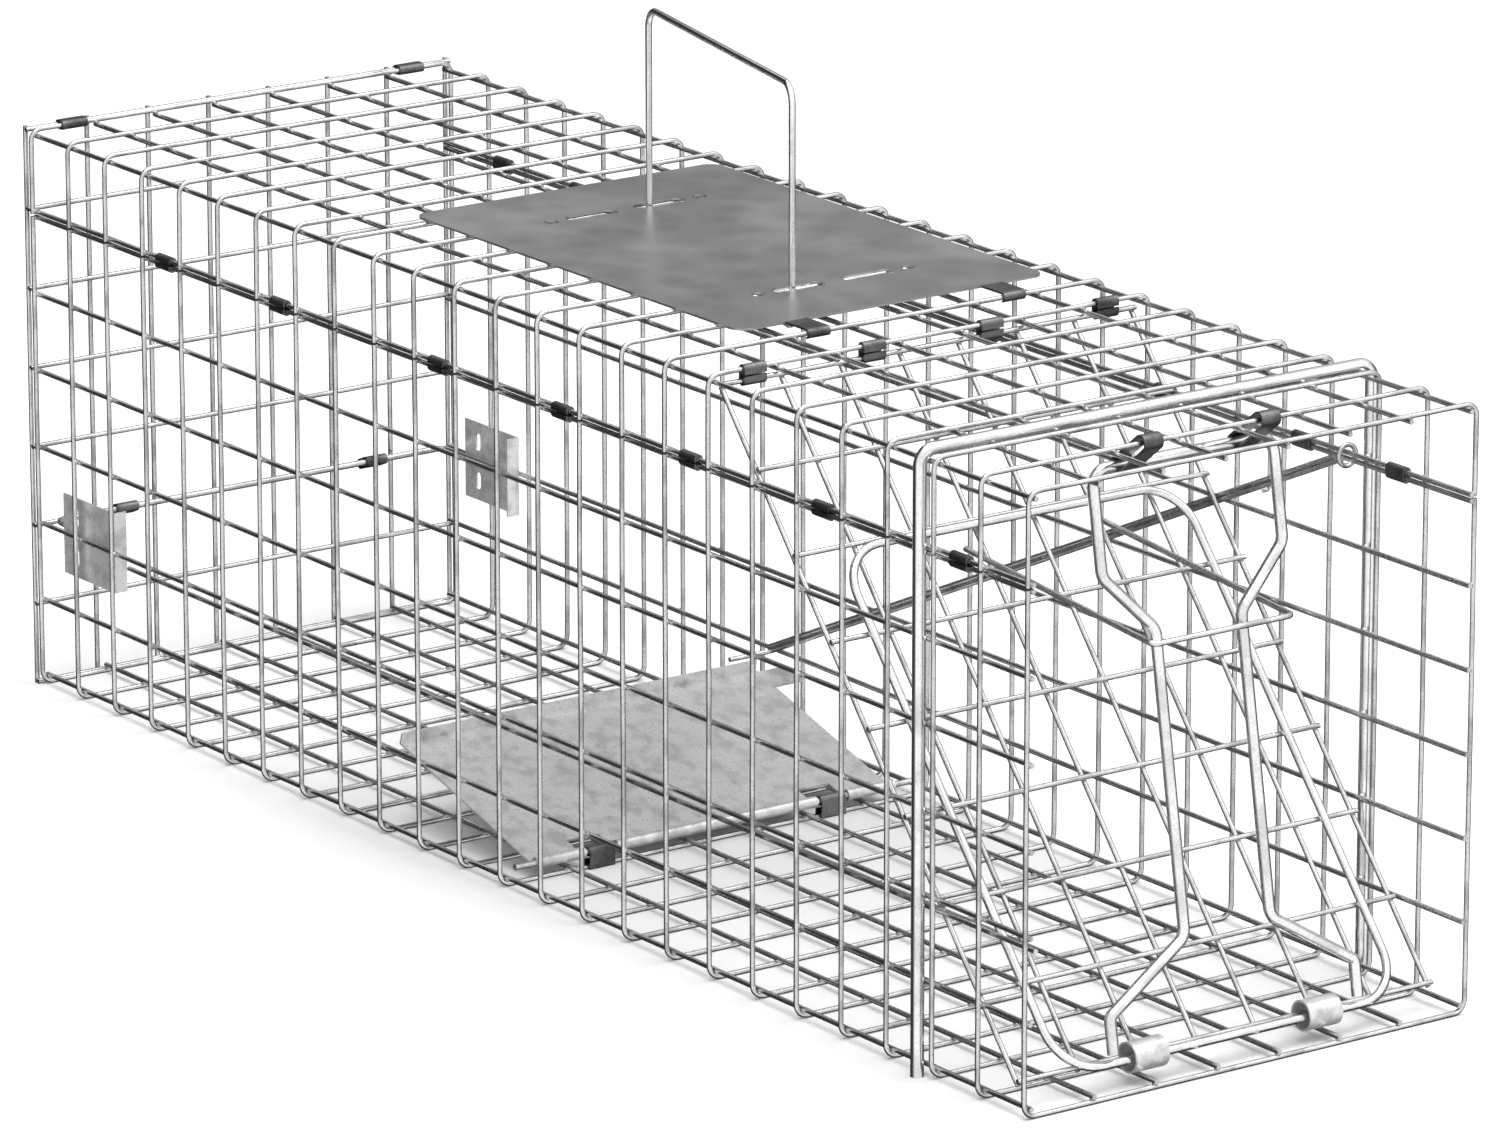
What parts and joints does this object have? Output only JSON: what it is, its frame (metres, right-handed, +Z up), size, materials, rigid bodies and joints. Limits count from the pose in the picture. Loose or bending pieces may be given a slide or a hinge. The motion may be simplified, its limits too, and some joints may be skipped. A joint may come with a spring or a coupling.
{
  "type": "live catch trap",
  "caption": "Long welded-wire cage trap with a sloping gravity door, heavy wire lock bail, foot-plate trigger, rear release door and a carry handle over a guard plate.",
  "frame": {"origin": "floor level, middle of the footprint", "axes": "+X to the door end, +Y to the side with the trigger rod, +Z up"},
  "size_m": [0.8, 0.2532, 0.378],
  "materials": {
    "mesh_wire": "zinc plated",
    "heavy_wire": "zinc plated",
    "clip_sheet": "zinc plated",
    "bright_sheet": "zinc plated",
    "plate_sheet": "zinc plated",
    "rod_wire": "zinc plated"
  },
  "bodies": {
    "cage": {"body_cross_wires": "mesh_wire", "body_long_wires": "mesh_wire", "top_cross_wires": "mesh_wire", "top_long_wires": "mesh_wire", "near_seam_clips": "clip_sheet", "far_seam_clips": "clip_sheet", "front_hoop": "heavy_wire", "side_rail": "rod_wire", "rear_hinge_clips": "clip_sheet", "near_latch_keeper": "bright_sheet", "far_latch_keeper": "bright_sheet", "door_hinge_clips": "clip_sheet", "bail_straps": "clip_sheet", "rod_hanger": "rod_wire", "pedal_pivot": "rod_wire", "pedal_clips": "clip_sheet", "guard_plate": "plate_sheet", "plate_hooks": "plate_sheet"},
    "rear_door": {"rear_door_mesh": "mesh_wire", "latch_bar_clips": "clip_sheet"},
    "latch": {"rear_latch_bar": "rod_wire"},
    "door": {"door_mesh": "mesh_wire", "door_frame": "heavy_wire", "door_sleeves": "bright_sheet"},
    "bail": {"lock_bail": "heavy_wire"},
    "stay": {"stay_link": "rod_wire"},
    "trigger": {"trigger_rod": "rod_wire"},
    "pedal": {"trigger_pedal": "bright_sheet"},
    "handle": {"carry_handle": "heavy_wire"}
  },
  "joints": [
    {"name": "door_swing", "type": "hinge", "parent": "cage", "child": "door", "pos_m": [0.16768, 0, 0.2737], "axis": [0, -1, 0], "range_deg": [0, 38]},
    {"name": "bail_swing", "type": "hinge", "parent": "cage", "child": "bail", "pos_m": [0.3484, 0, 0.2649], "axis": [0, -1, 0], "range_deg": [0, 62.8]},
    {"name": "stay_turn", "type": "hinge", "parent": "bail", "child": "stay", "pos_m": [0.33418, 0, 0.158], "axis": [0, -1, 0], "range_deg": [-62.8, 0]},
    {"name": "rear_door_swing", "type": "hinge", "parent": "cage", "child": "rear_door", "pos_m": [-0.3964, 0, 0.2788], "axis": [0, 1, 0], "range_deg": [0, 100]},
    {"name": "latch_lift", "type": "hinge", "parent": "rear_door", "child": "latch", "pos_m": [-0.3917, 0, 0.08251], "axis": [0, -1, 0], "range_deg": [0, 35]},
    {"name": "pedal_tilt", "type": "hinge", "parent": "cage", "child": "pedal", "pos_m": [0.0026, 0, 0.0083], "axis": [0, -1, 0], "range_deg": [0, 8]},
    {"name": "rod_slide", "type": "slide", "parent": "cage", "child": "trigger", "axis": [-1, 0, 0], "range_m": [0, 0.01]},
    {"name": "handle_drop", "type": "slide", "parent": "cage", "child": "handle", "axis": [0, 0, -1], "range_m": [0, 0.045]}
  ],
  "couplings": [
    {"joint": "bail_swing", "follows": "door_swing", "ratio": 1.65},
    {"joint": "stay_turn", "follows": "door_swing", "ratio": -1.65},
    {"joint": "rod_slide", "follows": "pedal_tilt", "m_per_rad": 0.0716}
  ]
}
